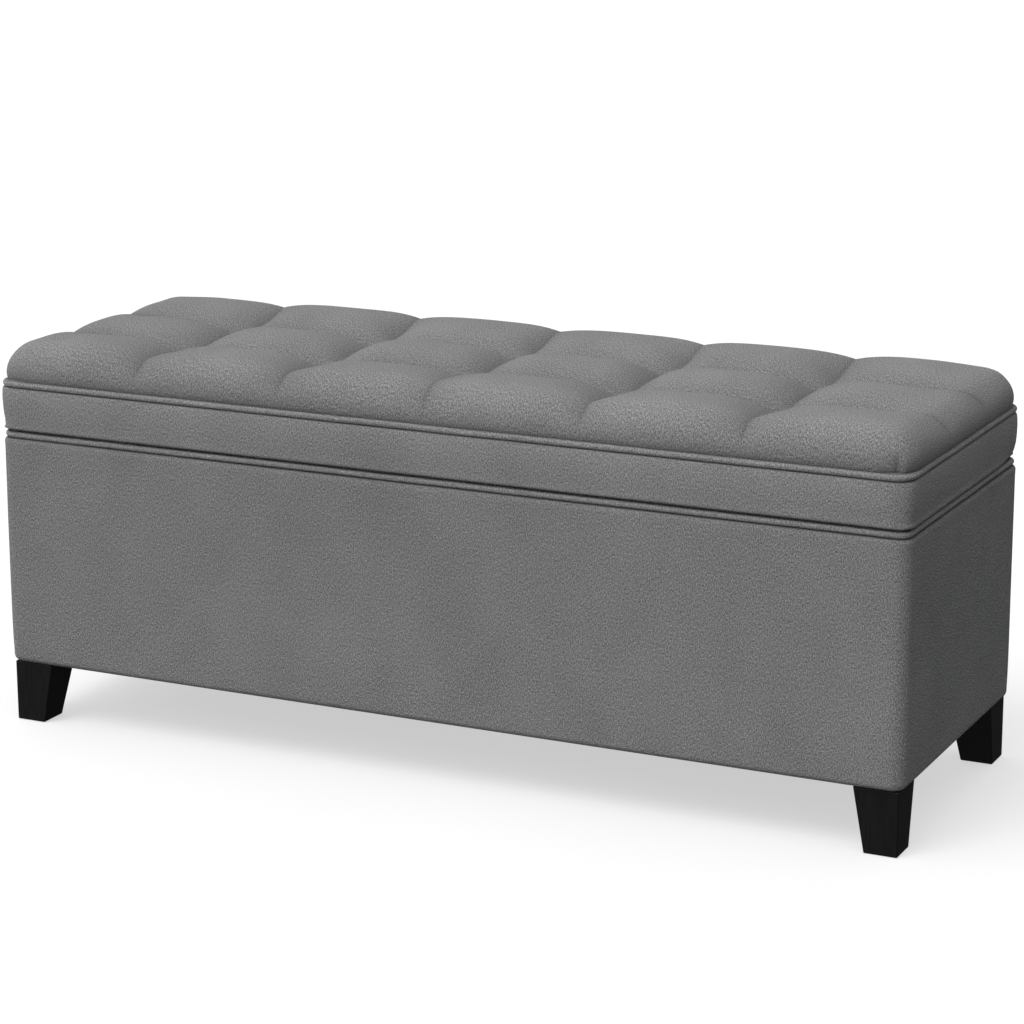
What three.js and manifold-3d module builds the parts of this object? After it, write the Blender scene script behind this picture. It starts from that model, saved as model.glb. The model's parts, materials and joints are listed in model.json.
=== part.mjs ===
// Upholstered storage bench with a hinged, tufted seat lid.
//
// Frame: millimetres, +Z up, origin on the floor under the middle of the bench,
// +X along the length, -Y towards the front.
//
// A plywood and board box is wrapped in a padded fabric cover and stands on four
// tapered block feet. The lid is a board with foam, a fabric boxing band and a
// padded top. It turns on two butt hinges along the rear rim and is guided by a
// folding stay at each end of the box.

import * as THREE from 'three';
import { mergeVertices } from 'three/addons/utils/BufferGeometryUtils.js';
import Module from 'manifold-3d';

const wasm = await Module();
wasm.setup();

// ---------------------------------------------------------------- dimensions

const CLEAR = 0.3;              // gap kept between pieces that touch

// box, outside of the cover
const LENGTH = 1200;
const DEPTH = 410;
const BODY_Z0 = 79;             // underside of the box
const COVER_Z1 = 372.7;         // top of the padded cover
const COVER_THICK = 12;
const CORNER_R = 12;            // vertical corners of the cover
const COVER_ROUND = 5;          // rounding of its top and bottom edges

// boards
const BOARD = 15;
const RIM_Z = 380.8;            // top edges of the four panels
const POST = 25;                // square corner posts
const POST_Z1 = 377.5;
const LINING = 1.2;
const LINING_Z1 = 378;
const DUST = 1.0;

// piping
const WELT_R = 3.9;
const BODY_WELT_INSET = 2;      // outside of the piping, in from the cover

// feet
const LEG_INSET = 6.5;
const LEG_TOP = 55;
const LEG_FOOT = 40.5;
const LEG_Z0 = 3.0;
const LEG_Z1 = BODY_Z0 - CLEAR;
const GLIDE_R = 12;
const BOLT_R = 4;
const BOLT_Z0 = 44;
const BOLT_Z1 = 134;

// lid
const LID_Z0 = 384.5;           // underside
const LID_LINING = 1.0;
const LID_BOARD = 12;
const BAND_Z1 = 438;            // top of the boxing band
const BAND_OVERHANG = 3;        // beyond the box, at the top of the band
const BAND_TAPER = 8;           // rounded in towards the underside
const LID_INNER_X = 593;        // inside of the band
const LID_INNER_Y = 198;
const LID_WELT_Z1 = 446.1;
const CUSHION_Z0 = 446.6;
const SEAT_Z = 499;             // crown of the seat
const CUSHION_INSET = 3;        // cushion side, in from the box faces
const CUSHION_ROUND = 27;

// hinges
const AXIS_Y = 204.5;
const AXIS_Z = 382.6;
const HINGE_X = 400;            // middle of each hinge
const HINGE_W = 60;
const KNUCKLE_R = 2.8;
const PIN_R = 1.4;
const PIN_HOLE_R = 1.75;
const LEAF = 1.0;
const LEAF_Y0 = 178.4;          // free edge of the leaves
const HINGE_SCREW_DX = 18;
const HINGE_SCREW_Y = 185.2;    // middle of the rear panel's edge

// folding stays: H is the hinge axis, B the box pivot, A the lid pivot and
// M the elbow, with M - A = B - H, so the four points form a parallelogram
const STAY_B = [AXIS_Y - 66, AXIS_Z - 50];
const STAY_A = [AXIS_Y - 180, AXIS_Z - 12];
const STAY_M = [STAY_A[0] - 66, STAY_A[1] - 50];
const ARM_W = 14;
const ARM_LOWER_X = [566.9, 568.9];
const ARM_UPPER_X = [564.3, 566.3];
const STUD_R = 3.0;
const STUD_HOLE_R = 3.4;
const RIVET_R = 2.5;
const RIVET_FIT_R = 2.8;        // held in the lower arm
const RIVET_RUN_R = 3.1;        // runs in the upper arm

const HX = LENGTH / 2;
const HY = DEPTH / 2;
const PANEL_X = HX - COVER_THICK - CLEAR;      // outer face of the end panels
const PANEL_Y = HY - COVER_THICK - CLEAR;      // outer face of the long panels
const IN_X = PANEL_X - BOARD;                  // inner faces
const IN_Y = PANEL_Y - BOARD;
const DUST_Z1 = BODY_Z0 + DUST;
const BOARD_Z0 = DUST_Z1 + CLEAR;
const FLOOR_Z = BOARD_Z0 + BOARD;              // top of the bottom board
const POST_X = IN_X - CLEAR - POST / 2;        // post centres
const POST_Y = IN_Y - CLEAR - POST / 2;
const BASE_SCREW_Z = STAY_B[1] - 24;
const LID_SCREW_X = 549;

// ------------------------------------------------------------------- helpers

function toSolid(geometry) {
  let g = geometry.clone();
  for (const name of Object.keys(g.attributes)) {
    if (name !== 'position') g.deleteAttribute(name);
  }
  g = mergeVertices(g, 1e-4);
  return new wasm.Manifold(new wasm.Mesh({
    numProp: 3,
    vertProperties: new Float32Array(g.attributes.position.array),
    triVerts: new Uint32Array(g.index.array),
  }));
}

function toGeometry(solid) {
  const mesh = solid.getMesh();
  const g = new THREE.BufferGeometry();
  g.setAttribute('position', new THREE.BufferAttribute(new Float32Array(mesh.vertProperties), 3));
  g.setIndex(new THREE.BufferAttribute(new Uint32Array(mesh.triVerts), 1));
  g.computeVertexNormals();
  return g;
}

function cut(geometry, ...tools) {
  let s = toSolid(geometry);
  for (const t of tools) s = s.subtract(toSolid(t));
  return toGeometry(s);
}

function join(geometry, ...others) {
  let s = toSolid(geometry);
  for (const t of others) s = s.add(toSolid(t));
  return toGeometry(s);
}

// the same shape on the other side of the X = 0 plane
function mirrored(geometry) {
  const g = geometry.index ? geometry.clone() : mergeVertices(geometry.clone(), 1e-4);
  g.scale(-1, 1, 1);
  const index = g.index.array;
  for (let i = 0; i < index.length; i += 3) {
    const keep = index[i];
    index[i] = index[i + 1];
    index[i + 1] = keep;
  }
  g.computeVertexNormals();
  return g;
}

function box(x0, x1, y0, y1, z0, z1) {
  const g = new THREE.BoxGeometry(x1 - x0, y1 - y0, z1 - z0);
  g.translate((x0 + x1) / 2, (y0 + y1) / 2, (z0 + z1) / 2);
  return g;
}

function cylinderZ(r, x, y, z0, z1, sides = 16, r1 = r) {
  const g = new THREE.CylinderGeometry(r1, r, z1 - z0, sides);
  g.rotateX(Math.PI / 2);
  g.translate(x, y, (z0 + z1) / 2);
  return g;
}

function cylinderX(r, x0, x1, y, z, sides = 16) {
  const g = new THREE.CylinderGeometry(r, r, x1 - x0, sides);
  g.rotateZ(-Math.PI / 2);
  g.translate((x0 + x1) / 2, y, z);
  return g;
}

function roundedRect(hx, hy, r) {
  const s = new THREE.Shape();
  s.moveTo(-hx + r, -hy);
  s.lineTo(hx - r, -hy);
  s.absarc(hx - r, -hy + r, r, -Math.PI / 2, 0, false);
  s.lineTo(hx, hy - r);
  s.absarc(hx - r, hy - r, r, 0, Math.PI / 2, false);
  s.lineTo(-hx + r, hy);
  s.absarc(-hx + r, hy - r, r, Math.PI / 2, Math.PI, false);
  s.lineTo(-hx, -hy + r);
  s.absarc(-hx + r, -hy + r, r, Math.PI, 1.5 * Math.PI, false);
  return s;
}

// a flat outline raised from z0 to z1, with both edges rounded by `round`
function slab(shape, z0, z1, { round = 0, roundZ = round, steps = 2, curve = 4 } = {}) {
  const depth = z1 - z0 - 2 * roundZ;
  const g = new THREE.ExtrudeGeometry(shape, {
    depth,
    curveSegments: curve,
    bevelEnabled: round > 0,
    bevelThickness: roundZ,
    bevelSize: round,
    bevelOffset: -round,
    bevelSegments: steps,
  });
  g.translate(0, 0, z0 + roundZ);
  return g;
}

// a rounded-rectangle ring of piping, round on its outside
function weltRing(hx, hy, corner, z0, z1, wide) {
  const r = (z1 - z0) / 2;
  const outer = slab(roundedRect(hx, hy, corner), z0, z1, { round: r - 0.2, roundZ: r - 0.2, steps: 2 });
  const inner = slab(roundedRect(hx - wide, hy - wide, Math.max(corner - wide, 3)), z0 - 5, z1 + 5);
  return cut(outer, inner);
}

// a flat bar with round ends from p to q, in the plane across X
function barOutline(p, q, w) {
  const a = Math.atan2(q[1] - p[1], q[0] - p[0]);
  const s = new THREE.Shape();
  s.absarc(q[0], q[1], w / 2, a - Math.PI / 2, a + Math.PI / 2, false);
  s.absarc(p[0], p[1], w / 2, a + Math.PI / 2, a + 1.5 * Math.PI, false);
  return s;
}

// an outline drawn in (Y, Z), raised along X from x0 to x1
function plateX(shape, x0, x1, curve = 6) {
  const g = new THREE.ExtrudeGeometry(shape, { depth: x1 - x0, bevelEnabled: false, curveSegments: curve });
  // shape x -> Y, shape y -> Z, depth -> X
  g.applyMatrix4(new THREE.Matrix4().set(
    0, 0, 1, x0,
    1, 0, 0, 0,
    0, 1, 0, 0,
    0, 0, 0, 1,
  ));
  return g;
}

// a wood screw whose head's top is at the origin and whose point is down -Z
function screwSolid(headR, headH, shankR, length, flush) {
  const pts = [new THREE.Vector2(0, 0)];
  if (flush) {
    pts.push(new THREE.Vector2(headR, 0), new THREE.Vector2(shankR, -headH));
  } else {
    pts.push(new THREE.Vector2(headR * 0.75, 0), new THREE.Vector2(headR, -headH * 0.45),
      new THREE.Vector2(headR, -headH), new THREE.Vector2(shankR, -headH));
  }
  pts.push(new THREE.Vector2(shankR, -length + 3), new THREE.Vector2(0, -length));
  const g = new THREE.LatheGeometry(pts.reverse(), 12);
  g.rotateX(Math.PI / 2);
  return g;
}

// ----------------------------------------------------------------- materials

const std = (color, roughness, metalness = 0) =>
  new THREE.MeshStandardMaterial({ color, roughness, metalness });

const fabric = () => std(0x77787a, 0.95);
const piping = () => std(0x6b6c6e, 0.95);
const foam = () => std(0xd9d4bf, 1.0);
const ply = () => std(0xc39a6b, 0.7);
const mdf = () => std(0xa98a66, 0.8);
const liningCloth = () => std(0x232426, 0.95);
const dustCloth = () => std(0x18181a, 1.0);
const blackWood = () => std(0x151517, 0.38);
const steel = () => std(0xb9bcc0, 0.35, 1.0);
const zinc = () => std(0xcfc9b4, 0.3, 1.0);
const blackSteel = () => std(0x26272a, 0.45, 0.9);
const plastic = () => std(0x1c1c1e, 0.6);

const bench = new THREE.Group();
const base = new THREE.Group();
const lid = new THREE.Group();
bench.add(base, lid);

function add(group, name, geometry, material, x = 0, y = 0, z = 0) {
  const m = new THREE.Mesh(geometry, material);
  m.name = name;
  m.position.set(x, y, z);
  group.add(m);
  return m;
}

// ------------------------------------------------------------- box: panels

const boltAt = [];
for (const sx of [-1, 1]) for (const sy of [-1, 1]) boltAt.push([sx * POST_X, sy * POST_Y]);

add(base, 'front_panel', box(-PANEL_X, PANEL_X, -PANEL_Y, -IN_Y, BOARD_Z0, RIM_Z), mdf());

{
  const pilots = [];
  for (const sx of [-1, 1]) for (const dx of [-HINGE_SCREW_DX, HINGE_SCREW_DX]) {
    pilots.push(cylinderZ(1.9, sx * HINGE_X + dx, HINGE_SCREW_Y, RIM_Z - 26, RIM_Z + 2, 12));
  }
  add(base, 'rear_panel', cut(box(-PANEL_X, PANEL_X, IN_Y, PANEL_Y, BOARD_Z0, RIM_Z), ...pilots), mdf());
}

{
  const end = cut(
    box(IN_X, PANEL_X, -IN_Y + CLEAR, IN_Y - CLEAR, BOARD_Z0, RIM_Z),
    cylinderX(2.0, IN_X - 2, IN_X + 12.6, STAY_B[0], BASE_SCREW_Z, 12),
  );
  add(base, 'right_end_panel', end, mdf());
  add(base, 'left_end_panel', mirrored(end), mdf());
}

add(base, 'bottom_board', cut(
  box(-IN_X + CLEAR, IN_X - CLEAR, -IN_Y + CLEAR, IN_Y - CLEAR, BOARD_Z0, FLOOR_Z),
  ...boltAt.map(([x, y]) => cylinderZ(BOLT_R + 0.5, x, y, BOARD_Z0 - 2, FLOOR_Z + 2)),
), ply());

{
  const post = cut(
    box(-POST / 2, POST / 2, -POST / 2, POST / 2, FLOOR_Z + CLEAR, POST_Z1),
    cylinderZ(BOLT_R + 0.4, 0, 0, FLOOR_Z - 2, BOLT_Z1 + 1),
  );
  for (const [n, sx, sy] of [['front_left', -1, -1], ['front_right', 1, -1], ['rear_left', -1, 1], ['rear_right', 1, 1]]) {
    add(base, `corner_post_${n}`, post.clone(), ply(), sx * POST_X, sy * POST_Y, 0);
  }
}

// ------------------------------------------------- box: cover, piping, cloth

add(base, 'body_cover', cut(
  slab(roundedRect(HX, HY, CORNER_R), BODY_Z0, COVER_Z1, { round: COVER_ROUND, steps: 2, curve: 5 }),
  box(-PANEL_X - CLEAR, PANEL_X + CLEAR, -PANEL_Y - CLEAR, PANEL_Y + CLEAR, BODY_Z0 - 5, COVER_Z1 + 5),
), fabric());

add(base, 'body_welt', weltRing(
  HX - BODY_WELT_INSET, HY - BODY_WELT_INSET, CORNER_R - 1, COVER_Z1 + CLEAR, COVER_Z1 + CLEAR + 2 * WELT_R, 2 * WELT_R,
), piping());

{
  // a tray that follows the inside of the box and steps in around the posts
  const tray = (inset) => {
    const x = IN_X - CLEAR - inset;
    const y = IN_Y - CLEAR - inset;
    const px = POST_X - POST / 2 - CLEAR - inset;
    const py = POST_Y - POST / 2 - CLEAR - inset;
    const s = new THREE.Shape();
    s.moveTo(-px, -y);
    s.lineTo(px, -y);
    s.lineTo(px, -py);
    s.lineTo(x, -py);
    s.lineTo(x, py);
    s.lineTo(px, py);
    s.lineTo(px, y);
    s.lineTo(-px, y);
    s.lineTo(-px, py);
    s.lineTo(-x, py);
    s.lineTo(-x, -py);
    s.lineTo(-px, -py);
    return s;
  };
  add(base, 'storage_lining', cut(
    slab(tray(0), FLOOR_Z + CLEAR, LINING_Z1),
    slab(tray(LINING), FLOOR_Z + CLEAR + LINING, LINING_Z1 + 5),
    cylinderX(2.2, IN_X - 6, IN_X + 2, STAY_B[0], BASE_SCREW_Z, 12),
    cylinderX(2.2, -IN_X - 2, -IN_X + 6, STAY_B[0], BASE_SCREW_Z, 12),
  ), liningCloth());
}

add(base, 'dust_cover', cut(
  box(-PANEL_X, PANEL_X, -PANEL_Y, PANEL_Y, BODY_Z0, DUST_Z1),
  ...boltAt.map(([x, y]) => cylinderZ(BOLT_R + 0.6, x, y, BODY_Z0 - 2, DUST_Z1 + 2)),
), dustCloth());

// ----------------------------------------------------------- feet and glides

{
  // outer faces upright, inner faces drawn in towards the foot
  const outX = HX - LEG_INSET;
  const outY = HY - LEG_INSET;
  const g = new THREE.BoxGeometry(LEG_TOP, LEG_TOP, LEG_Z1 - LEG_Z0);
  g.translate(outX - LEG_TOP / 2, outY - LEG_TOP / 2, (LEG_Z0 + LEG_Z1) / 2);
  const p = g.attributes.position;
  for (let i = 0; i < p.count; i++) {
    if (p.getZ(i) > (LEG_Z0 + LEG_Z1) / 2) continue;
    if (p.getX(i) < outX - 1) p.setX(i, outX - LEG_FOOT);
    if (p.getY(i) < outY - 1) p.setY(i, outY - LEG_FOOT);
  }
  const leg = cut(g, cylinderZ(BOLT_R + 0.3, POST_X, POST_Y, BOLT_Z0 - 1, LEG_Z1 + 2));
  const bolt = new THREE.LatheGeometry([
    new THREE.Vector2(0, BOLT_Z0),
    new THREE.Vector2(BOLT_R * 0.5, BOLT_Z0),
    new THREE.Vector2(BOLT_R, BOLT_Z0 + 5),
    new THREE.Vector2(BOLT_R, BOLT_Z1 - 1.5),
    new THREE.Vector2(BOLT_R - 1, BOLT_Z1),
    new THREE.Vector2(0, BOLT_Z1),
  ], 16);
  bolt.rotateX(Math.PI / 2);
  const glide = new THREE.LatheGeometry([
    new THREE.Vector2(0, 0),
    new THREE.Vector2(GLIDE_R - 1, 0),
    new THREE.Vector2(GLIDE_R, 1),
    new THREE.Vector2(GLIDE_R, LEG_Z0 - CLEAR),
    new THREE.Vector2(0, LEG_Z0 - CLEAR),
  ], 24);
  glide.rotateX(Math.PI / 2);

  const footMid = LEG_INSET + LEG_FOOT / 2;
  for (const [n, sx, sy] of [['front_left', -1, -1], ['front_right', 1, -1], ['rear_left', -1, 1], ['rear_right', 1, 1]]) {
    let shape = leg;
    if (sx < 0) shape = mirrored(shape);
    if (sy < 0) {
      // turned half round, then mirrored, to face the front
      shape = mirrored(shape);
      shape = shape.clone();
      shape.rotateZ(Math.PI);
    }
    add(base, `leg_${n}`, shape.clone(), blackWood());
    add(base, `leg_bolt_${n}`, bolt.clone(), zinc(), sx * POST_X, sy * POST_Y, 0);
    add(base, `glide_${n}`, glide.clone(), plastic(), sx * (HX - footMid), sy * (HY - footMid), 0);
  }
}

// -------------------------------------------------------------------- hinges

{
  const seg = HINGE_W / 3;
  const half = HINGE_W / 2;
  const reach = KNUCKLE_R + 0.5;
  const bore = cylinderX(PIN_HOLE_R, -half - 2, half + 2, AXIS_Y, AXIS_Z, 16);

  // leaf screwed to the rear panel's edge: the two outer knuckles
  const baseZ0 = RIM_Z + CLEAR;
  const sink = (z0, z1, r0, r1) => [-1, 1].map((s) => cylinderZ(r0, s * HINGE_SCREW_DX, HINGE_SCREW_Y, z0, z1, 12, r1));
  const baseLeaf = cut(
    join(
      box(-half, half, LEAF_Y0, AXIS_Y - reach, baseZ0, baseZ0 + LEAF),
      box(-half, -half + seg - 0.3, AXIS_Y - reach - 1, AXIS_Y - 1, baseZ0, baseZ0 + LEAF),
      box(half - seg + 0.3, half, AXIS_Y - reach - 1, AXIS_Y - 1, baseZ0, baseZ0 + LEAF),
      cylinderX(KNUCKLE_R, -half, -half + seg - 0.3, AXIS_Y, AXIS_Z, 16),
      cylinderX(KNUCKLE_R, half - seg + 0.3, half, AXIS_Y, AXIS_Z, 16),
    ),
    bore,
    ...sink(baseZ0 - 0.01, baseZ0 + LEAF + 0.01, 2.2, 3.5),
  );

  // leaf screwed to the lid: the middle knuckle
  const lidZ1 = LID_Z0 - CLEAR;
  const lidLeaf = cut(
    join(
      box(-half, half, LEAF_Y0, AXIS_Y - reach, lidZ1 - LEAF, lidZ1),
      box(-half + seg, half - seg, AXIS_Y - reach - 1, AXIS_Y - 1, lidZ1 - LEAF, lidZ1),
      cylinderX(KNUCKLE_R, -half + seg, half - seg, AXIS_Y, AXIS_Z, 16),
    ),
    bore,
    ...sink(lidZ1 - LEAF - 0.01, lidZ1 + 0.01, 3.5, 2.2),
  );

  const pin = cylinderX(PIN_R, -half - 0.8, half + 0.8, 0, 0, 16);
  const baseScrew = screwSolid(3.2, 1.0, 1.6, 24, true);
  const lidScrew = baseScrew.clone();
  lidScrew.scale(1, 1, 0.54);
  lidScrew.rotateX(Math.PI);

  for (const [side, sx] of [['left', -1], ['right', 1]]) {
    add(base, `hinge_base_leaf_${side}`, baseLeaf.clone(), steel(), sx * HINGE_X, 0, 0);
    add(base, `hinge_pin_${side}`, pin.clone(), steel(), sx * HINGE_X, AXIS_Y, AXIS_Z);
    add(lid, `hinge_lid_leaf_${side}`, lidLeaf.clone(), steel(), sx * HINGE_X, 0, 0);
    for (const [end, dx] of [['a', -HINGE_SCREW_DX], ['b', HINGE_SCREW_DX]]) {
      add(base, `hinge_base_screw_${side}_${end}`, baseScrew.clone(), zinc(),
        sx * HINGE_X + dx, HINGE_SCREW_Y, baseZ0 + LEAF);
      add(lid, `hinge_lid_screw_${side}_${end}`, lidScrew.clone(), zinc(),
        sx * HINGE_X + dx, HINGE_SCREW_Y, lidZ1 - LEAF);
    }
  }
}

// ----------------------------------------------------------------------- lid

{
  const z1 = LID_Z0 + LID_LINING;
  const lidHoles = [];
  for (const sx of [-1, 1]) {
    for (const dx of [-HINGE_SCREW_DX, HINGE_SCREW_DX]) {
      lidHoles.push(cylinderZ(2.0, sx * HINGE_X + dx, HINGE_SCREW_Y, LID_Z0 - 2, z1 + CLEAR + 11, 12));
    }
    lidHoles.push(cylinderZ(2.0, sx * LID_SCREW_X, STAY_A[0], LID_Z0 - 2, z1 + CLEAR + 11, 12));
  }
  const ix = LID_INNER_X - CLEAR;
  const iy = LID_INNER_Y - CLEAR;
  add(lid, 'lid_lining', cut(box(-ix, ix, -iy, iy, LID_Z0, z1), ...lidHoles), dustCloth());
  add(lid, 'lid_board', cut(box(-ix, ix, -iy, iy, z1 + CLEAR, z1 + CLEAR + LID_BOARD), ...lidHoles), ply());
  add(lid, 'lid_foam', slab(roundedRect(ix, iy, 14), z1 + LID_BOARD + 2 * CLEAR, CUSHION_Z0 - CLEAR), foam());

  const bx = HX + BAND_OVERHANG;
  const by = HY + BAND_OVERHANG;
  const bandTall = slab(roundedRect(bx, by, 18), LID_Z0, BAND_Z1 + 20, { round: BAND_TAPER, roundZ: 9, steps: 3, curve: 4 });
  add(lid, 'lid_band', cut(
    bandTall,
    box(-bx - 10, bx + 10, -by - 10, by + 10, BAND_Z1, BAND_Z1 + 40),
    box(-LID_INNER_X, LID_INNER_X, -LID_INNER_Y, LID_INNER_Y, LID_Z0 - 5, BAND_Z1 + 5),
  ), fabric());

  add(lid, 'lid_welt', weltRing(bx, by, 18, BAND_Z1 + CLEAR, LID_WELT_Z1, 2 * WELT_R), piping());

  // padded top: a crowned pad, rounded over on every side
  const cx = HX - CUSHION_INSET;
  const cy = HY - CUSHION_INSET;
  const padTall = slab(roundedRect(cx, cy, 34), CUSHION_Z0 - 60, SEAT_Z, { round: CUSHION_ROUND, roundZ: CUSHION_ROUND, steps: 5, curve: 5 });
  add(lid, 'lid_cushion', cut(
    padTall,
    box(-cx - 10, cx + 10, -cy - 10, cy + 10, CUSHION_Z0 - 80, CUSHION_Z0),
  ), fabric());
}

// ------------------------------------------------------------- folding stays

{
  const [by, bz] = STAY_B;
  const [ay, az] = STAY_A;
  const [my, mz] = STAY_M;
  const plateX0 = IN_X - CLEAR - LINING - CLEAR - 1.5;
  const plateX1 = plateX0 + 1.5;

  // plate on the end panel, with a stud for the lower arm
  const baseBracket = cut(
    join(
      plateX(barOutline([by, bz - 34], [by, bz], 20), plateX0, plateX1),
      cylinderX(STUD_R, ARM_LOWER_X[0] - 0.5, plateX0 + 0.5, by, bz, 16),
    ),
    cylinderX(2.0, plateX0 - 1, plateX1 + 1, by, BASE_SCREW_Z, 12),
  );

  // angle on the lid board, with a stud for the upper arm
  const tab = [ARM_UPPER_X[0] - 2.5, ARM_UPPER_X[0] - 0.5];
  const lidZ1 = LID_Z0 - CLEAR;
  const lidBracket = cut(
    join(
      box(LID_SCREW_X - 9, tab[1], ay - 12, ay + 12, lidZ1 - 1.5, lidZ1),
      box(tab[0], tab[1], ay - 9, ay + 9, az, lidZ1),
      plateX(barOutline([ay, az], [ay, az + 4], 18), tab[0], tab[1]),
      cylinderX(STUD_R, tab[0] + 0.5, ARM_UPPER_X[1] + 0.2, ay, az, 16),
    ),
    cylinderZ(2.0, LID_SCREW_X, ay, lidZ1 - 4, lidZ1 + 2, 12),
  );

  const lowerArm = cut(
    plateX(barOutline([by, bz], [my, mz], ARM_W), ...ARM_LOWER_X),
    cylinderX(STUD_HOLE_R, 560, 575, by, bz, 16),
    cylinderX(RIVET_FIT_R, 560, 575, my, mz, 16),
  );
  const upperArm = cut(
    plateX(barOutline([ay, az], [my, mz], ARM_W), ...ARM_UPPER_X),
    cylinderX(STUD_HOLE_R, 560, 575, ay, az, 16),
    cylinderX(RIVET_RUN_R, 560, 575, my, mz, 16),
  );

  // elbow rivet: a head each side of the two arms
  const x0 = ARM_UPPER_X[0] - 0.4;
  const x1 = ARM_LOWER_X[1] + 0.3;
  const rivet = new THREE.LatheGeometry([
    new THREE.Vector2(0, x0 - 1.3),
    new THREE.Vector2(3.0, x0 - 1.3),
    new THREE.Vector2(4.5, x0 - 0.5),
    new THREE.Vector2(4.5, x0),
    new THREE.Vector2(RIVET_R, x0),
    new THREE.Vector2(RIVET_R, x1),
    new THREE.Vector2(4.5, x1),
    new THREE.Vector2(4.5, x1 + 0.5),
    new THREE.Vector2(3.0, x1 + 1.1),
    new THREE.Vector2(0, x1 + 1.1),
  ], 16);
  rivet.rotateZ(-Math.PI / 2);
  rivet.translate(0, my, mz);

  // pan-head screws: into the end panel, and up into the lid board
  const wallScrew = screwSolid(3.6, 1.6, 1.7, 14, false);
  wallScrew.rotateY(-Math.PI / 2);
  wallScrew.translate(plateX0 - CLEAR - 1.6, by, BASE_SCREW_Z);
  const topScrew = screwSolid(3.6, 1.6, 1.7, 13, false);
  topScrew.rotateX(Math.PI);
  topScrew.translate(LID_SCREW_X, ay, lidZ1 - 1.5 - CLEAR - 1.6);

  const stays = new THREE.Group();
  bench.add(stays);
  for (const [side, sx] of [['left', -1], ['right', 1]]) {
    const s = (g) => (sx > 0 ? g.clone() : mirrored(g));
    add(base, `stay_base_bracket_${side}`, s(baseBracket), blackSteel());
    add(base, `stay_base_screw_${side}`, s(wallScrew), zinc());
    add(lid, `stay_lid_bracket_${side}`, s(lidBracket), blackSteel());
    add(lid, `stay_lid_screw_${side}`, s(topScrew), zinc());
    add(stays, `stay_lower_arm_${side}`, s(lowerArm), blackSteel());
    add(stays, `stay_rivet_${side}`, s(rivet), steel());
    add(stays, `stay_upper_arm_${side}`, s(upperArm), blackSteel());
  }
}

export default bench;
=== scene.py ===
import bpy
import json
import math
import numpy as np
from mathutils import Matrix, Vector, noise


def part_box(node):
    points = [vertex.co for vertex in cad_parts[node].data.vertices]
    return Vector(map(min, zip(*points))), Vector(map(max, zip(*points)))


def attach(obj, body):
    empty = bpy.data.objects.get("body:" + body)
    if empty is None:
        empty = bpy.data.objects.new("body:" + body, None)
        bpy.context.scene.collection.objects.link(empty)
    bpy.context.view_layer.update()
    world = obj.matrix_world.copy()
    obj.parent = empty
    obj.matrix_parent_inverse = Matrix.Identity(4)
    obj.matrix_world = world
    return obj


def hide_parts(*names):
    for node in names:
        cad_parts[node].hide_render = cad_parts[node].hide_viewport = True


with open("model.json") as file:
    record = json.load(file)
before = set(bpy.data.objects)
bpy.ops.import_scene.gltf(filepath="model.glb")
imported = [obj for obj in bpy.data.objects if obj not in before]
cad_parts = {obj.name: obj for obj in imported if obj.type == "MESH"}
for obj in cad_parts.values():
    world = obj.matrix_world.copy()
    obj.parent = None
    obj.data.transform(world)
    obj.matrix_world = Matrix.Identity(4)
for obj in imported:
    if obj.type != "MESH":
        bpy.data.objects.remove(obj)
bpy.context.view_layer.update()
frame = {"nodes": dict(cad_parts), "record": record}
nodes = frame["nodes"]
scene = bpy.context.scene

# ------------------------------------------------------------------ the frame
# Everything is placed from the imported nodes' own boxes, in metres.

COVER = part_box("body_cover")
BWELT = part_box("body_welt")
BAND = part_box("lid_band")
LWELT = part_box("lid_welt")
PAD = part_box("lid_cushion")
HX, HY = COVER[1][0], COVER[1][1]              # outside of the padded box
Z_BOT, Z_COVER = COVER[0][2], COVER[1][2]
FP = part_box("front_panel")
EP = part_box("right_end_panel")
RIM_Z = FP[1][2]
IN_X, IN_Y = EP[0][0], -FP[1][1]               # inner faces of the boards
BX, BY = BAND[1][0], BAND[1][1]                # widest line of the boxing band
WR = (BWELT[1][2] - BWELT[0][2]) / 2           # piping radius


# -------------------------------------------------------------- mesh helpers

def new_mesh(name, verts, faces, smooth=True):
    me = bpy.data.meshes.new(name)
    me.from_pydata([tuple(map(float, v)) for v in verts], [], faces)
    me.validate()
    if smooth:
        me.polygons.foreach_set("use_smooth", [True] * len(me.polygons))
    me.update()
    ob = bpy.data.objects.new(name, me)
    scene.collection.objects.link(ob)
    return ob


def coords(ob):
    a = np.zeros(len(ob.data.vertices) * 3)
    ob.data.vertices.foreach_get("co", a)
    return a.reshape(-1, 3)


def set_coords(ob, a):
    ob.data.vertices.foreach_set("co", np.asarray(a, float).ravel())
    ob.data.update()


def weave_attr(ob, uv, wrap_u=0.0, wrap_v=0.0):
    """Lengths along the cloth's two thread directions, in metres, kept on every face corner. A face that joins the end of a ring to its start counts on past the end."""
    me = ob.data
    vi = np.zeros(len(me.loops), int)
    me.loops.foreach_get("vertex_index", vi)
    full = np.zeros((len(vi), 3))
    full[:, :2] = uv[vi]
    start = np.zeros(len(me.polygons), int)
    total = np.zeros(len(me.polygons), int)
    me.polygons.foreach_get("loop_start", start)
    me.polygons.foreach_get("loop_total", total)
    owner = np.repeat(np.arange(len(start)), total)
    for k, wrap in ((0, wrap_u), (1, wrap_v)):
        if wrap:
            top = np.full(len(start), -1e9)
            np.maximum.at(top, owner, full[:, k])
            full[:, k] += np.where(top[owner] - full[:, k] > wrap / 2, wrap, 0)
    a = me.attributes.new("cloth", "FLOAT_VECTOR", "CORNER")
    a.data.foreach_set("vector", full.ravel())


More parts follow.
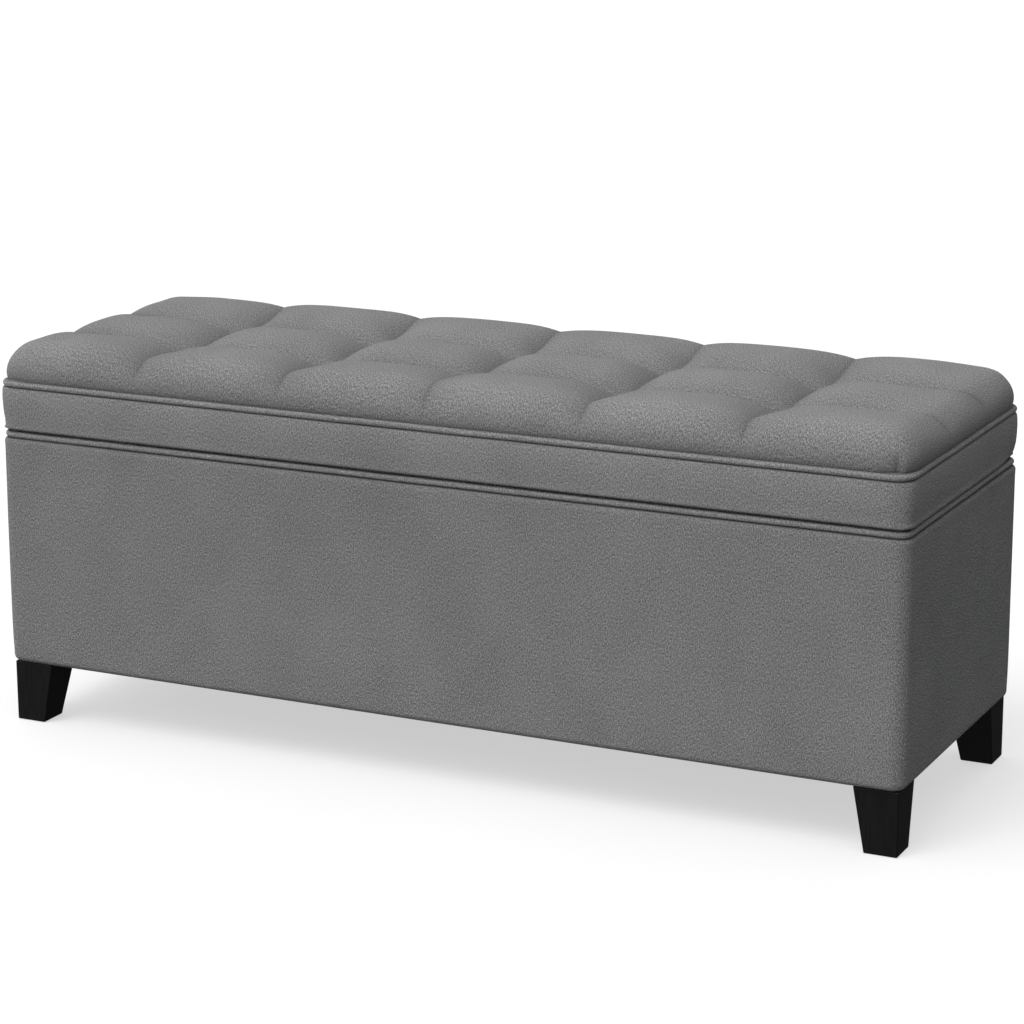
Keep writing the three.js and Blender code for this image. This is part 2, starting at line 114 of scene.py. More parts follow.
def shade_attr(ob, value, name="painted_shade"):
    a = ob.data.attributes.new(name, "FLOAT", "POINT")
    a.data.foreach_set("value", np.asarray(value, float).ravel())


class Ring:
    """A rounded rectangle, anticlockwise from the middle of the rear. at(o) gives its points when the whole outline is grown outwards by o."""

    def __init__(self, hx, hy, r, step=0.012, arc=7):
        self.hx, self.hy, self.r = hx, hy, r
        sign, nor = [], []

        def line(p, q, n):
            k = max(1, round(math.dist((p[0] * (hx - r), p[1] * (hy - r)), (q[0] * (hx - r), q[1] * (hy - r))) / step))
            for i in range(k):
                t = i / k
                sign.append((p[0] + (q[0] - p[0]) * t, p[1] + (q[1] - p[1]) * t))
                nor.append(n)

        def corner(c, a0):
            for i in range(arc):
                a = math.radians(a0 + 90 * i / arc)
                sign.append(c)
                nor.append((math.cos(a), math.sin(a)))

        line((0, 1), (-1, 1), (0, 1))
        corner((-1, 1), 90)
        line((-1, 1), (-1, -1), (-1, 0))
        corner((-1, -1), 180)
        line((-1, -1), (1, -1), (0, -1))
        corner((1, -1), 270)
        line((1, -1), (1, 1), (1, 0))
        corner((1, 1), 0)
        line((1, 1), (0, 1), (0, 1))
        self.sign, self.n = np.array(sign, float), np.array(nor, float)
        self.p = self.at(0.0)
        self.walked = np.concatenate([[0], np.cumsum(np.linalg.norm(np.diff(self.p, axis=0), axis=1))])

    def at(self, o):
        r = max(self.r + o, 0.0004)
        c = np.array([self.hx + o - r, self.hy + o - r])
        return self.sign * c + self.n * r


def sweep(name, ring, profile, wobble=None, painted_shade=None):
    """A closed section (offset outwards, height) carried round a ring."""
    prof = np.array(profile, float)
    seg = np.concatenate([[0], np.cumsum(np.linalg.norm(np.diff(prof, axis=0), axis=1))])
    p, n, walked = ring.p, ring.n, ring.walked
    N, M = len(p), len(prof)
    v = np.zeros((N, M, 3))
    for j, (o, z) in enumerate(prof):
        v[:, j, :2] = ring.at(o)
        v[:, j, 2] = z
    if wobble is not None:
        do, dh = wobble(p, prof)
        v[..., :2] += n[:, None, :] * do[..., None]
        v[..., 2] += dh
    faces = []
    for i in range(N):
        i2 = (i + 1) % N
        for j in range(M):
            j2 = (j + 1) % M
            faces.append((i * M + j, i2 * M + j, i2 * M + j2, i * M + j2))
    ob = new_mesh(name, v.reshape(-1, 3), faces)
    uv = np.zeros((N, M, 2))
    uv[..., 0] = walked[:, None]
    uv[..., 1] = seg[None, :]
    round_u = float(walked[-1] + np.linalg.norm(p[0] - p[-1]))
    round_v = float(seg[-1] + np.linalg.norm(prof[0] - prof[-1]))
    weave_attr(ob, uv.reshape(-1, 2), round_u, round_v)
    if painted_shade is not None:
        shade_attr(ob, np.repeat(np.array(painted_shade, float)[None, :], N, 0))
    return ob


def spans(stops, step):
    out = [stops[0]]
    for a, b in zip(stops, stops[1:]):
        k = max(1, round((b - a) / step))
        out += [a + (b - a) * (i + 1) / k for i in range(k)]
    return np.array(out)


def point_normals(v, faces):
    n = np.zeros_like(v)
    f = np.array(faces)
    c = np.cross(v[f[:, 2]] - v[f[:, 0]], v[f[:, 3]] - v[f[:, 1]])
    for k in range(4):
        np.add.at(n, f[:, k], c)
    return n / (np.linalg.norm(n, axis=1, keepdims=True) + 1e-12)


def thick_sheet(name, v, faces, uv, t):
    """A sheet of quads made into cloth t thick, closed along its edges. The given side is the back."""
    v = np.asarray(v, float)
    k = len(v)
    n = point_normals(v, faces)
    allv = np.concatenate([v, v + n * t])
    out = [tuple(f[::-1]) for f in faces] + [tuple(i + k for i in f) for f in faces]
    seen = {}
    for f in faces:
        for a, b in zip(f, f[1:] + f[:1]):
            seen[(a, b)] = True
    for a, b in list(seen):
        if (b, a) not in seen:
            out.append((a, b, b + k, a + k))
    ob = new_mesh(name, allv, out)
    weave_attr(ob, np.concatenate([uv, uv]))
    return ob


def soft_noise(x, y, z, scale, seed=0.0):
    """Smooth noise in about -1..1 at many points."""
    f = np.vectorize(lambda a, b, c: noise.noise(Vector((a / scale + seed, b / scale + 1.7 * seed, c / scale - seed))))
    return f(x, y, z)


def arc_pts(cx, cy, r, a0, a1, k, ry=None):
    ry = r if ry is None else ry
    return [(cx + r * math.cos(math.radians(a0 + (a1 - a0) * i / k)), cy + ry * math.sin(math.radians(a0 + (a1 - a0) * i / k))) for i in range(k + 1)]


# ------------------------------------------------------------------ materials

def new_material(name):
    m = bpy.data.materials.new(name)
    m.use_nodes = True
    nt = m.node_tree
    nt.nodes.clear()
    out = nt.nodes.new("ShaderNodeOutputMaterial")
    bsdf = nt.nodes.new("ShaderNodeBsdfPrincipled")
    nt.links.new(bsdf.outputs[0], out.inputs[0])
    return m, nt, bsdf


def node(nt, kind, **kw):
    n = nt.nodes.new(kind)
    for k, v in kw.items():
        setattr(n, k, v)
    return n


def mathn(nt, op, a, b=None, c=None, clamp=False):
    n = nt.nodes.new("ShaderNodeMath")
    n.operation = op
    n.use_clamp = clamp
    for i, v in enumerate((a, b, c)):
        if v is None:
            continue
        if isinstance(v, (int, float)):
            n.inputs[i].default_value = v
        else:
            nt.links.new(v, n.inputs[i])
    return n.outputs[0]


def fabric_material(name, dark, mid, light, pitch=0.00125, bump=0.00045, contrast=1.0, sheen=0.12):
    """Linen-look woven cloth: warp and weft yarns, slubs along both and a heather of lighter and darker fibres."""
    m, nt, b = new_material(name)
    L = nt.links.new
    at = node(nt, "ShaderNodeAttribute", attribute_name="cloth")
    sep = node(nt, "ShaderNodeSeparateXYZ")
    L(at.outputs["Vector"], sep.inputs[0])
    u, v = sep.outputs[0], sep.outputs[1]

    # a little wander, so that no yarn is ruler straight
    wander = node(nt, "ShaderNodeTexNoise", noise_dimensions="2D")
    wander.inputs["Scale"].default_value = 60.0
    wander.inputs["Detail"].default_value = 1.0
    L(at.outputs["Vector"], wander.inputs["Vector"])
    w = mathn(nt, "MULTIPLY_ADD", wander.outputs["Fac"], 0.0012, -0.0006)
    uw = mathn(nt, "ADD", u, w)
    vw = mathn(nt, "ADD", v, w)

    # plain weave: over and under, one yarn each way
    k = math.pi / pitch
    su = mathn(nt, "SINE", mathn(nt, "MULTIPLY", uw, k))
    sv = mathn(nt, "SINE", mathn(nt, "MULTIPLY", vw, k))
    cell = mathn(nt, "MULTIPLY", su, sv)
    au = mathn(nt, "ABSOLUTE", su)
    av = mathn(nt, "ABSOLUTE", sv)
    knit = mathn(nt, "MULTIPLY", au, av)
    over = mathn(nt, "MULTIPLY_ADD", cell, 0.35, 0.5)
    yarn = mathn(nt, "MULTIPLY_ADD", knit, 0.5, over)

    def streak(sx, sy, detail, seed):
        c = node(nt, "ShaderNodeCombineXYZ")
        L(mathn(nt, "MULTIPLY_ADD", u, sx, seed), c.inputs[0])
        L(mathn(nt, "MULTIPLY", v, sy), c.inputs[1])
        t = node(nt, "ShaderNodeTexNoise", noise_dimensions="2D")
        t.inputs["Scale"].default_value = 1.0
        t.inputs["Detail"].default_value = detail
        t.inputs["Roughness"].default_value = 0.6
        L(c.outputs[0], t.inputs["Vector"])
        return t.outputs["Fac"]

    warp = streak(860.0, 380.0, 2.0, 3.1)       # slubs that run up the cloth
    weft = streak(420.0, 860.0, 2.0, 11.7)      # and across it
    grain = streak(760.0, 760.0, 3.0, 23.9)     # mottle
    broad = streak(9.0, 7.0, 2.0, 41.0)         # slow change of tone

    s = mathn(nt, "ADD", mathn(nt, "MULTIPLY", warp, 0.46), mathn(nt, "MULTIPLY", weft, 0.22))
    s = mathn(nt, "ADD", s, mathn(nt, "MULTIPLY", grain, 0.32))
    s = mathn(nt, "MULTIPLY_ADD", mathn(nt, "SUBTRACT", s, 0.5), 3.0 * contrast, 0.5)
    s = mathn(nt, "ADD", s, mathn(nt, "MULTIPLY_ADD", yarn, 0.16, -0.11))
    s = mathn(nt, "ADD", s, mathn(nt, "MULTIPLY_ADD", broad, 0.20, -0.10), None, True)

    ramp = node(nt, "ShaderNodeValToRGB")
    L(s, ramp.inputs[0])
    e = ramp.color_ramp.elements
    e[0].position, e[0].color = 0.0, (*dark, 1)
    e[1].position, e[1].color = 1.0, (*light, 1)
    me = e.new(0.5)
    me.color = (*mid, 1)

    # painted shade: a per-point amount darkens the cloth's colour at seams, folds and gaps, where shadow falls
    cr = node(nt, "ShaderNodeAttribute", attribute_name="painted_shade")
    mix = node(nt, "ShaderNodeMix", data_type="RGBA", blend_type="MULTIPLY")
    mix.inputs["Factor"].default_value = 1.0
    shade = node(nt, "ShaderNodeValToRGB")
    L(cr.outputs["Fac"], shade.inputs[0])
    se = shade.color_ramp.elements
    se[0].position, se[0].color = 0.0, (1, 1, 1, 1)
    se[1].position, se[1].color = 1.0, (0.3, 0.3, 0.3, 1)
    L(ramp.outputs[0], mix.inputs["A"])
    L(shade.outputs[0], mix.inputs["B"])
    L(mix.outputs["Result"], b.inputs["Base Color"])

    b.inputs["Roughness"].default_value = 0.92
    b.inputs["Specular IOR Level"].default_value = 0.18
    b.inputs["Sheen Weight"].default_value = sheen
    b.inputs["Sheen Roughness"].default_value = 0.55
    b.inputs["Sheen Tint"].default_value = (1, 1, 1, 1)

    h = mathn(nt, "ADD", mathn(nt, "MULTIPLY", yarn, 0.55), mathn(nt, "MULTIPLY", warp, 0.8))
    h = mathn(nt, "ADD", h, mathn(nt, "MULTIPLY", grain, 0.9))
    bp = node(nt, "ShaderNodeBump")
    bp.inputs["Strength"].default_value = 0.85
    bp.inputs["Distance"].default_value = bump
    L(h, bp.inputs["Height"])
    L(bp.outputs[0], b.inputs["Normal"])
    return m


def lin(c):
    """sRGB 0-255 grey or colour to linear."""
    c = (c, c, c) if isinstance(c, (int, float)) else c
    return tuple(((x / 255 + 0.055) / 1.055) ** 2.4 if x > 10 else x / 255 / 12.92 for x in c)


FABRIC = fabric_material("grey_linen", lin((97, 97, 97)), lin((149, 150, 150)), lin((202, 202, 202)), bump=0.0036, contrast=1.25)
# painted light: the boxing band is the same grey linen as the cover, given lighter tones so that it reads more brightly
# lit
BAND_LINEN_PAINTED_LIGHT = fabric_material("grey_linen_boxing_painted_light", lin((104, 104, 104)), lin((159, 160, 160)), lin((213, 213, 213)), bump=0.0036, contrast=1.25)
PIPING = fabric_material("grey_linen_piping", lin((92, 92, 92)), lin((140, 141, 141)), lin((190, 190, 190)), pitch=0.0012, bump=0.0014, contrast=1.6)
LINING = fabric_material("black_lining", lin((20, 20, 22)), lin((30, 30, 32)), lin((44, 44, 46)), pitch=0.001, bump=0.0001, contrast=0.5, sheen=0.1)
DUST = fabric_material("black_dust_cloth", lin((14, 14, 15)), lin((22, 22, 23)), lin((34, 34, 35)), pitch=0.0016, bump=0.00012, contrast=0.7, sheen=0.05)


def object_noise(nt, scale, detail=2.0, stretch=(1, 1, 1), rough=0.5):
    tc = node(nt, "ShaderNodeTexCoord")
    mp = node(nt, "ShaderNodeMapping")
    mp.inputs["Scale"].default_value = stretch
    nt.links.new(tc.outputs["Object"], mp.inputs["Vector"])
    t = node(nt, "ShaderNodeTexNoise")
    t.inputs["Scale"].default_value = scale
    t.inputs["Detail"].default_value = detail
    t.inputs["Roughness"].default_value = rough
    nt.links.new(mp.outputs[0], t.inputs["Vector"])
    return t.outputs["Fac"]


def ramp_of(nt, fac, stops):
    r = node(nt, "ShaderNodeValToRGB")
    nt.links.new(fac, r.inputs[0])
    e = r.color_ramp.elements
    e[0].position, e[0].color = stops[0][0], (*stops[0][1], 1)
    e[1].position, e[1].color = stops[-1][0], (*stops[-1][1], 1)
    for p, c in stops[1:-1]:
        e.new(p).color = (*c, 1)
    return r.outputs[0]


def surface_material(name, stops, scale, stretch=(1, 1, 1), rough=(0.3, 0.4), metal=0.0, bump=0.0, detail=3.0, coat=0.0, spec=0.5):
    m, nt, b = new_material(name)
    f = object_noise(nt, scale, detail, stretch, 0.6)
    nt.links.new(ramp_of(nt, f, stops), b.inputs["Base Color"])
    mr = node(nt, "ShaderNodeMapRange")
    mr.inputs["To Min"].default_value, mr.inputs["To Max"].default_value = rough
    nt.links.new(f, mr.inputs["Value"])
    nt.links.new(mr.outputs[0], b.inputs["Roughness"])
    b.inputs["Metallic"].default_value = metal
    b.inputs["Specular IOR Level"].default_value = spec
    if coat:
        b.inputs["Coat Weight"].default_value = coat
        b.inputs["Coat Roughness"].default_value = 0.25
    if bump:
        bp = node(nt, "ShaderNodeBump")
        bp.inputs["Strength"].default_value = 0.6
        bp.inputs["Distance"].default_value = bump
        nt.links.new(f, bp.inputs["Height"])
        nt.links.new(bp.outputs[0], b.inputs["Normal"])
    return m


BLACK_WOOD = surface_material("black_satin_wood", [(0.3, lin((15, 15, 17))), (0.55, lin((20, 20, 22))), (0.75, lin((26, 26, 29)))], 60, (6, 6, 0.6), (0.4, 0.5), bump=0.0002, spec=0.16)
PLY = surface_material("birch_ply", [(0.3, lin((168, 132, 92))), (0.5, lin((190, 156, 114))), (0.72, lin((206, 175, 135)))], 26, (1, 9, 9), (0.55, 0.7), bump=0.0002)
MDF = surface_material("fibreboard", [(0.3, lin((132, 104, 76))), (0.5, lin((150, 121, 90))), (0.72, lin((166, 138, 106)))], 320, (1, 1, 1), (0.7, 0.85), bump=0.0001)
ZINC = surface_material("zinc_plate", [(0.3, lin((168, 160, 138))), (0.55, lin((190, 184, 166))), (0.75, lin((206, 203, 192)))], 180, (1, 1, 1), (0.25, 0.4), 1.0, 0.00004)
STEEL = surface_material("brushed_hinge_steel", [(0.3, lin((150, 152, 155))), (0.55, lin((174, 176, 179))), (0.75, lin((196, 198, 201)))], 220, (0.2, 4, 4), (0.25, 0.42), 1.0, 0.00003)
BLACK_STEEL = surface_material("black_painted_steel", [(0.3, lin(26)), (0.55, lin(32)), (0.75, lin(40))], 420, (1, 1, 1), (0.35, 0.5), 0.0, 0.00006, coat=0.2)
PLASTIC = surface_material("black_plastic", [(0.3, lin(18)), (0.55, lin(22)), (0.75, lin(28))], 300, (1, 1, 1), (0.5, 0.62), 0.0, 0.00004)
FOAM = surface_material("cream_foam", [(0.3, lin((196, 186, 152))), (0.55, lin((214, 205, 174))), (0.75, lin((226, 219, 192)))], 500, (1, 1, 1), (0.9, 1.0), 0.0, 0.0004)


def paint(ob, mat):
    ob.data.materials.clear()
    ob.data.materials.append(mat)


BY_SLOT = {"mdf_board": MDF, "plywood": PLY, "foam": FOAM, "zinc_steel": ZINC, "hinge_steel": STEEL,
           "black_steel": BLACK_STEEL, "black_plastic": PLASTIC, "black_wood": BLACK_WOOD,
           "lining_cloth": LINING, "dust_cloth": DUST}
for sp in frame["record"]["subparts"]:
    if sp["material_slot"] in BY_SLOT:
        paint(nodes[sp["node"]], BY_SLOT[sp["material_slot"]])


# -------------------------------------------------------------------- cushion
# The top is one sheet of cloth over foam, sewn down along two long and five
# short seams into puffs, and closed at its edge against the piping.

SEAM_X = [-0.398, -0.199, 0.0, 0.199, 0.398]
SEAM_Y = [-0.067, 0.067]
CX, CY = PAD[1][0], PAD[1][1]
SEAT_Z = PAD[1][2]
PZ0 = LWELT[1][2] - 0.0035                     # where the cloth leaves the piping


RU, RC = 0.066, 0.036                          # unfolded and folded width of the rolled edge
EX, EY = CX - 0.0035, CY - 0.0035                # the sewn edge, just inside the piping
PUFF = 0.0260                                  # how far a puff stands over its seams


def edge_profile():
    """Unfolded length from the piping, and how far in and up the cloth is there."""
    S = np.linspace(0, RU, 240)
    turn = math.pi / 2 * np.clip((S - 0.007) / (RU - 0.007), 0, 1) ** 0.66
    ds = S[1] - S[0]
    D = np.concatenate([[0], np.cumsum(np.sin(turn[:-1]) * ds)])
    H = np.concatenate([[0], np.cumsum(np.cos(turn[:-1]) * ds)])
    return S, D * RC / D[-1], H * (SEAT_Z - PUFF - 0.0002 - PZ0) / H[-1]


def cushion_form(step, puff=PUFF):
    """The sewn cloth over its foam, as a grid of points (with the unfolded place of each)."""
    S, D, H = edge_profile()
    ax, ay = EX - RC, EY - RC
    gx = spans([-ax - RU, -ax, *SEAM_X, ax, ax + RU], step)
    gy = spans([-ay - RU, -ay, *SEAM_Y, ay, ay + RU], step)
    U, V = np.meshgrid(gx, gy, indexing="ij")

    a = np.clip(np.abs(U) - ax, 0, None) / RU
    b = np.clip(np.abs(V) - ay, 0, None) / RU
    am = a * np.sqrt(1 - b * b / 2)
    bm = b * np.sqrt(1 - a * a / 2)
    rho = np.sqrt(am ** 2 + bm ** 2)
    phi = np.arctan2(bm, am)
    s = RU * (1 - rho)
    dd = np.interp(s, S, D)
    hh = np.interp(s, S, H)
    rr = RC - dd
    X = np.where(a > 0, np.sign(U) * (ax + rr * np.cos(phi)), U)
    Y = np.where(b > 0, np.sign(V) * (ay + rr * np.sin(phi)), V)
    P = np.stack([X, Y, PZ0 + hh], -1)
    N = np.cross(np.gradient(P, axis=0), np.gradient(P, axis=1))
    N /= np.linalg.norm(N, axis=-1, keepdims=True) + 1e-12

    def near(q, seams):
        d = np.abs(q[..., None] - np.array(seams))
        return d.min(-1), d.argmin(-1)

    dx, ix = near(U, SEAM_X)
    dy, iy = near(V, SEAM_Y)

    def arch(t, p):
        return 1 - (1 - np.clip(t, 0, 1)) ** p

    def smooth(t):
        t = np.clip(t, 0, 1)
        return t * t * (3 - 2 * t)

    far = np.minimum(ax + RU - np.abs(U), ay + RU - np.abs(V))
    fade = smooth((far - 0.003) / 0.040)

    # each seam is pulled a little differently: the middle short one is shallow at the front
    deep_x = np.array([1.0, 0.97, 0.94, 1.0, 1.0])[ix]
    deep_x = deep_x * np.where(ix == 2, 1 - 0.62 * smooth((-0.078 - V) / 0.05), 1.0)
    # the short seams flatten out towards the long edges, the long seams towards the ends
    deep_x = deep_x * (1 - np.where(V > 0, 0.68, 0.45) * smooth((np.abs(V) - 0.112) / 0.060))
    deep_y = 1 - 0.72 * smooth((np.abs(U) - (ax - 0.045)) / 0.075)
    px = arch((dx - 0.0005) / 0.0990, 3.7)
    py = arch((dy - 0.0005) / 0.0700, 2.9)
    full = (1 - 0.86 * (1 - px) * fade * deep_x) * (1 - (1 - py) * fade * deep_y)

    rng = np.random.default_rng(7)
    col = np.searchsorted(SEAM_X, U.ravel()).reshape(U.shape)
    row = np.searchsorted(SEAM_Y, V.ravel()).reshape(V.shape)
    amp = puff * (1 + 0.05 * rng.uniform(-1, 0.4, (6, 3)) - 0.10 * np.array([1, 0, 0, 0, 0, 0.3])[:, None] * np.array([0.2, 0.7, 1.0])[None, :])[col, row]
    t = np.clip(far / 0.052, 0, 1)
    side = 1 - (1 - t) ** 1.5
    # the puffs at the two ends roll down over a longer way
    side = side * (1 - 0.34 * (1 - np.clip((ax + RU - np.abs(U)) / 0.125, 0, 1)) ** 1.6 * np.clip((ax + RU - np.abs(U)) / 0.04, 0, 1))
    rise = amp * full * side

    # where two seams cross, the cloth is drawn down further
    cross = np.exp(-((dx / 0.028) ** 2 + (dy / 0.024) ** 2)) * 0.0045
    P = P + N * (rise - cross * fade)[..., None]

    # slow unevenness of the filling
    n1 = soft_noise(P[..., 0], P[..., 1], P[..., 2], 0.085, 3.0)
    P = P + N * (0.0009 * n1 * np.clip(far / 0.05, 0, 1))[..., None]
    return gx, gy, U, V, P, N, dx, dy, far, fade


def grid_faces(nu, nv):
    return [(i * nv + j, (i + 1) * nv + j, (i + 1) * nv + j + 1, i * nv + j + 1) for i in range(nu - 1) for j in range(nv - 1)]


def inflate(verts, faces, pin, pressure, frames=20):
    """The cloth blown up against its pinned seams. Gives the settled points."""
    ob = new_mesh("settling", verts, faces)
    vg = ob.vertex_groups.new(name="pin")
    for lo in np.arange(0.05, 1.0001, 0.05):
        sel = np.where((pin >= lo - 0.025) & (pin < lo + 0.025))[0]
        if len(sel):
            vg.add([int(i) for i in sel], float(lo), "REPLACE")
    mod = ob.modifiers.new("cloth", "CLOTH")
    st = mod.settings
    st.quality = 6
    st.mass = 0.3
    st.tension_stiffness, st.compression_stiffness, st.shear_stiffness, st.bending_stiffness = 30, 12, 8, 0.6
    st.air_damping = 3.0
    st.vertex_group_mass = "pin"
    st.pin_stiffness = 2.0
    st.use_pressure = True
    st.uniform_pressure_force = pressure
    st.effector_weights.gravity = 0.0
    mod.collision_settings.use_self_collision = False
    mod.collision_settings.use_collision = False
    mod.point_cache.frame_start, mod.point_cache.frame_end = 1, frames
    for f in range(1, frames + 1):
        scene.frame_set(f)
    ev = ob.evaluated_get(bpy.context.evaluated_depsgraph_get())
    me = ev.to_mesh()
    out = np.zeros(len(me.vertices) * 3)
    me.vertices.foreach_get("co", out)
    ev.to_mesh_clear()
    old = ob.data
    bpy.data.objects.remove(ob)
    bpy.data.meshes.remove(old)
    scene.frame_set(1)
    return out.reshape(-1, 3)


def resample(field, gx, gy, fx, fy):
    """A grid of vectors read at a finer grid's places."""
    ix = np.clip(np.searchsorted(gx, fx) - 1, 0, len(gx) - 2)
    iy = np.clip(np.searchsorted(gy, fy) - 1, 0, len(gy) - 2)
    tx = ((fx - gx[ix]) / (gx[ix + 1] - gx[ix]))[:, None, None]
    ty = ((fy - gy[iy]) / (gy[iy + 1] - gy[iy]))[None, :, None]
    A, B = field[ix][:, iy], field[ix + 1][:, iy]
    C, D = field[ix][:, iy + 1], field[ix + 1][:, iy + 1]
    return A * (1 - tx) * (1 - ty) + B * tx * (1 - ty) + C * (1 - tx) * ty + D * tx * ty


def cushion():
    gx, gy, U, V, P, N, dx, dy, far, fade = cushion_form(0.0031)
    # the same cloth, a little slack, pinned along its seams and blown up
    cx, cy, U0, V0, P0, N0, dx0, dy0, far0, fade0 = cushion_form(0.0062, PUFF * 0.94)
    hold = np.maximum(np.exp(-(np.minimum(dx0, dy0) / 0.006) ** 2) * np.clip(fade0 * 1.5, 0, 1), np.exp(-(far0 / 0.006) ** 2))
    hold[[0, -1], :] = 1
    hold[:, [0, -1]] = 1
    got = inflate(P0.reshape(-1, 3), grid_faces(*U0.shape), hold.ravel(), 4.0).reshape(P0.shape)
    move = got - P0
    size = np.linalg.norm(move, axis=-1, keepdims=True)
    print("cushion cloth moved, mm: mean %.2f, most %.2f" % (1000 * size.mean(), 1000 * size.max()))
    move *= np.minimum(1, 0.0055 / (size + 1e-9))
    base = 0.06 * PUFF                      # the slack that the pressure takes up
    P = P + resample(move, cx, cy, gx, gy) - N * (base * np.clip(far / 0.05, 0, 1))[..., None]

    # the pleat where the cloth is taken in at the front right corner
    nu, nv = U.shape
    ax, ay = EX - RC, EY - RC
    along = np.hypot(np.clip(U - ax, 0, None), np.clip(-V - ay, 0, None))
    ang = np.degrees(np.arctan2(np.clip(-V - ay, 0, None), np.clip(U - ax, 1e-6, None)))
    at = (ang - 56) * math.pi / 180 * along
    on = np.clip((along - 0.040) / 0.012, 0, 1) * (U > ax) * (V < -ay)
    dent = np.exp(-(at / 0.0022) ** 2) * on
    P = P - N * (0.0017 * dent)[..., None]

    verts = P.reshape(-1, 3)
    faces = grid_faces(nu, nv)

    # underside: the sheet's edge turns in under the piping and is closed flat
    ring = [(i, 0) for i in range(nu)] + [(nu - 1, j) for j in range(1, nv)] + [(i, nv - 1) for i in range(nu - 2, -1, -1)] + [(0, j) for j in range(nv - 2, 0, -1)]
    top = [i * nv + j for i, j in ring]
    base = verts[top].copy()
    lo = PAD[0][2]
    loops = [top]
    allv = [verts]
    count = len(verts)
    for shrink, z in ((0.004, lo + 0.0006), (0.02, lo)):
        q = base.copy()
        q[:, 0] -= np.sign(q[:, 0]) * np.minimum(shrink, np.abs(q[:, 0]))
        q[:, 1] -= np.sign(q[:, 1]) * np.minimum(shrink, np.abs(q[:, 1]))
        q[:, 2] = z
        allv.append(q)
        loops.append(list(range(count, count + len(q))))
        count += len(q)
    k = len(top)
    for A, B in zip(loops, loops[1:]):
        faces += [(A[i], B[i], B[(i + 1) % k], A[(i + 1) % k])[::-1] for i in range(k)]
    allv.append(np.array([[0, 0, lo]]))
    faces += [(loops[-1][i], count, loops[-1][(i + 1) % k])[::-1] for i in range(k)]
    verts = np.concatenate(allv)

    ob = new_mesh("tufted_cushion", verts, faces)
    extra = len(verts) - nu * nv
    uv = np.concatenate([np.stack([U, V], -1).reshape(-1, 2), np.zeros((extra, 2))])
    weave_attr(ob, uv)
    # painted shade: the cloth's colour is darkened along the seams, in the hollows between the puffs, at its edge
    # against the piping, in the corner pleat and all over the hidden underside
    seam = np.exp(-(np.minimum(dx, dy) / 0.0028) ** 2) * np.clip(fade * 1.3 - 0.15, 0, 1)
    hollow = np.exp(-np.abs(np.minimum(dx * 0.9, dy)) / 0.020) * np.clip(fade * 1.3 - 0.15, 0, 1)
    rim = np.exp(-(far / 0.0035) ** 2)
    shade_attr(ob, np.concatenate([np.clip(0.26 * seam + 0.36 * hollow + 0.6 * rim + 0.6 * dent, 0, 1).ravel(), np.ones(extra)]))
    return ob


pad = cushion()
paint(pad, FABRIC)
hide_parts("lid_cushion")
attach(pad, "lid")


# ------------------------------------------------------------- piping (welts)

def piping(name, hx, hy, r, zc, rad, seed, seam=None):
    """Cord in cloth, with its flat seam allowance laid inwards at a height, if there is one."""
    ring = Ring(hx, hy, r, 0.010, 9)
    ang = np.linspace(0, 2 * math.pi, 17)[:-1]
    prof = [(rad * math.cos(a) - rad, zc + rad * math.sin(a)) for a in ang]
    # painted shade: the cloth is darkened on the top and bottom of the cord, where it meets the parts beside it, on its
    # inner side and on the seam allowance
    dark = [min(1, max(0, (abs(math.sin(a)) - 0.8) / 0.2)) * 0.45 if math.cos(a) > -0.2 else 0.6 for a in ang]
    if seam is not None:
        at = next(k for k, a in enumerate(ang) if a > 0.72 * math.pi)
        prof[at:at] = [(-2 * rad - 0.0010, seam + 0.0005), (-0.0200, seam + 0.0005), (-0.0200, seam), (-2 * rad - 0.0010, seam)]
        dark[at:at] = [0.6] * 4

    def wob(p, prof):
        n = np.array([noise.noise(Vector((x / 0.09 + seed, y / 0.09, seed))) for x, y in p])[:, None]
        m = np.array([noise.noise(Vector((x / 0.025 + seed, y / 0.025, 5 + seed))) for x, y in p])[:, None]
        cord = (prof[None, :, 0] > -2 * rad - 0.0005)
        do = 0.0003 * n - 0.0003 + (prof[None, :, 0] + rad) * 0.05 * m * cord
        dh = (0.0004 * np.roll(n, 7) + (prof[None, :, 1] - zc) * 0.05 * m) * cord
        return do, dh

    return sweep(name, ring, prof, wob, painted_shade=dark)


lw = piping("lid_piping", BX - 0.0028, BY - 0.0010, 0.024, (LWELT[0][2] + LWELT[1][2]) / 2, WR, 2.0, PAD[0][2] + 0.0003)
paint(lw, PIPING)
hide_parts("lid_welt")
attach(lw, "lid")

bw = piping("body_piping", BWELT[1][0], BWELT[1][1], 0.016, (BWELT[0][2] + BWELT[1][2]) / 2, WR, 9.0)
paint(bw, PIPING)
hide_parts("body_welt")
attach(bw, "base")


# ----------------------------------------------------------------- lid band

